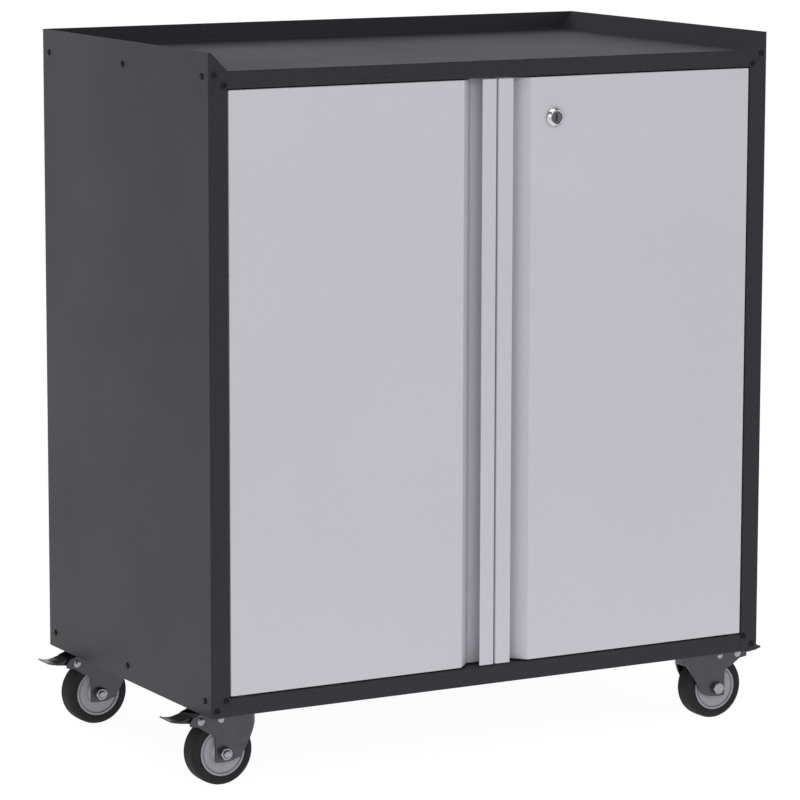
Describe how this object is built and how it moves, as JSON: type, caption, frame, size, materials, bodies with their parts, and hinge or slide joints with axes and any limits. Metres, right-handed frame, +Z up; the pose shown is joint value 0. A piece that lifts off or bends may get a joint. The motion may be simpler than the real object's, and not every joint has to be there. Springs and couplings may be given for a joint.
{
  "type": "rolling storage cabinet",
  "caption": "Rolling steel cabinet with two pivoted doors, finger channels, cam lock, rimmed worktop, adjustable shelf and braked swivel casters.",
  "frame": {"origin": "on the floor under the middle of the cabinet", "axes": "+Z up, +X to the right as seen from the doors, +Y towards the back"},
  "size_m": [0.774, 0.4289, 0.806],
  "materials": {
    "body_paint": "textured powder coat",
    "door_paint": "fine textured powder coat",
    "zinc": "bright zinc plated",
    "black_screw": "black oxide",
    "nylon": "black nylon",
    "black_plastic": "moulded",
    "buffer_rubber": "moulded",
    "lock_chrome": "polished",
    "lock_core_metal": "dark satin",
    "fork_metal": "grey satin",
    "hub_plastic": "moulded polypropylene",
    "tyre_rubber": "moulded",
    "pedal_metal": "black satin"
  },
  "bodies": {
    "cabinet": {"left_side_panel": "body_paint", "right_side_panel": "body_paint", "back_panel": "body_paint", "worktop": "body_paint", "base_pan": "body_paint", "upright_front_left": "body_paint", "upright_front_right": "body_paint", "upright_rear_left": "body_paint", "upright_rear_right": "body_paint", "shelf": "body_paint", "shelf_clips": "zinc", "side_screws": "black_screw", "post_screws": "black_screw", "back_screws": "black_screw", "hinge_bushes": "nylon", "magnet_catches": "black_plastic", "door_stops": "buffer_rubber", "caster_plates": "zinc", "caster_bolts": "zinc", "caster_nuts": "zinc", "caster_kingpins": "zinc", "caster_balls": "zinc"},
    "left_door": {"left_door_skin": "door_paint", "left_door_back": "door_paint", "left_hinge_pins": "zinc", "left_strike": "zinc"},
    "right_door": {"right_door_skin": "door_paint", "right_door_back": "door_paint", "right_hinge_pins": "zinc", "right_strike": "zinc", "lock_body": "lock_chrome", "lock_nut": "zinc"},
    "lock_core": {"lock_plug": "lock_core_metal", "lock_cam": "zinc", "lock_cam_screw": "zinc"},
    "front_left_swivel": {"caster_front_left_fork": "fork_metal", "caster_front_left_axle": "zinc", "caster_front_left_rivets": "zinc"},
    "front_left_wheel": {"caster_front_left_hub": "hub_plastic", "caster_front_left_tyre": "tyre_rubber"},
    "front_left_pedal": {"caster_front_left_pedal": "pedal_metal"},
    "front_right_swivel": {"caster_front_right_fork": "fork_metal", "caster_front_right_axle": "zinc", "caster_front_right_rivets": "zinc"},
    "front_right_wheel": {"caster_front_right_hub": "hub_plastic", "caster_front_right_tyre": "tyre_rubber"},
    "front_right_pedal": {"caster_front_right_pedal": "pedal_metal"},
    "rear_left_swivel": {"caster_rear_left_fork": "fork_metal", "caster_rear_left_axle": "zinc", "caster_rear_left_rivets": "zinc"},
    "rear_left_wheel": {"caster_rear_left_hub": "hub_plastic", "caster_rear_left_tyre": "tyre_rubber"},
    "rear_left_pedal": {"caster_rear_left_pedal": "pedal_metal"},
    "rear_right_swivel": {"caster_rear_right_fork": "fork_metal", "caster_rear_right_axle": "zinc", "caster_rear_right_rivets": "zinc"},
    "rear_right_wheel": {"caster_rear_right_hub": "hub_plastic", "caster_rear_right_tyre": "tyre_rubber"},
    "rear_right_pedal": {"caster_rear_right_pedal": "pedal_metal"}
  },
  "joints": [
    {"name": "left_door_hinge", "type": "hinge", "parent": "cabinet", "child": "left_door", "pos_m": [-0.3195, -0.205, 0.107], "axis": [0, 0, -1], "range_deg": [0, 110]},
    {"name": "right_door_hinge", "type": "hinge", "parent": "cabinet", "child": "right_door", "pos_m": [0.3195, -0.205, 0.107], "axis": [0, 0, 1], "range_deg": [0, 110]},
    {"name": "lock_turn", "type": "hinge", "parent": "right_door", "child": "lock_core", "pos_m": [0.073, -0.211, 0.7205], "axis": [0, -1, 0], "range_deg": [0, 90]},
    {"name": "front_left_swivel_turn", "type": "hinge", "parent": "cabinet", "child": "front_left_swivel", "pos_m": [-0.303, -0.1605, 0.09], "axis": [0, 0, 1], "continuous": true},
    {"name": "front_left_wheel_spin", "type": "hinge", "parent": "front_left_swivel", "child": "front_left_wheel", "pos_m": [-0.323, -0.1605, 0.0375], "axis": [0, 1, 0], "continuous": true},
    {"name": "front_left_brake", "type": "hinge", "parent": "front_left_swivel", "child": "front_left_pedal", "pos_m": [-0.3515, -0.1605, 0.0758], "axis": [0, -1, 0], "range_deg": [0, 16]},
    {"name": "front_right_swivel_turn", "type": "hinge", "parent": "cabinet", "child": "front_right_swivel", "pos_m": [0.303, -0.1605, 0.09], "axis": [0, 0, 1], "continuous": true},
    {"name": "front_right_wheel_spin", "type": "hinge", "parent": "front_right_swivel", "child": "front_right_wheel", "pos_m": [0.323, -0.1605, 0.0375], "axis": [0, 1, 0], "continuous": true},
    {"name": "front_right_brake", "type": "hinge", "parent": "front_right_swivel", "child": "front_right_pedal", "pos_m": [0.3515, -0.1605, 0.0758], "axis": [0, 1, 0], "range_deg": [0, 16]},
    {"name": "rear_left_swivel_turn", "type": "hinge", "parent": "cabinet", "child": "rear_left_swivel", "pos_m": [-0.303, 0.1605, 0.09], "axis": [0, 0, 1], "continuous": true},
    {"name": "rear_left_wheel_spin", "type": "hinge", "parent": "rear_left_swivel", "child": "rear_left_wheel", "pos_m": [-0.323, 0.1605, 0.0375], "axis": [0, 1, 0], "continuous": true},
    {"name": "rear_left_brake", "type": "hinge", "parent": "rear_left_swivel", "child": "rear_left_pedal", "pos_m": [-0.3515, 0.1605, 0.0758], "axis": [0, -1, 0], "range_deg": [0, 16]},
    {"name": "rear_right_swivel_turn", "type": "hinge", "parent": "cabinet", "child": "rear_right_swivel", "pos_m": [0.303, 0.1605, 0.09], "axis": [0, 0, 1], "continuous": true},
    {"name": "rear_right_wheel_spin", "type": "hinge", "parent": "rear_right_swivel", "child": "rear_right_wheel", "pos_m": [0.323, 0.1605, 0.0375], "axis": [0, 1, 0], "continuous": true},
    {"name": "rear_right_brake", "type": "hinge", "parent": "rear_right_swivel", "child": "rear_right_pedal", "pos_m": [0.3515, 0.1605, 0.0758], "axis": [0, 1, 0], "range_deg": [0, 16]}
  ]
}
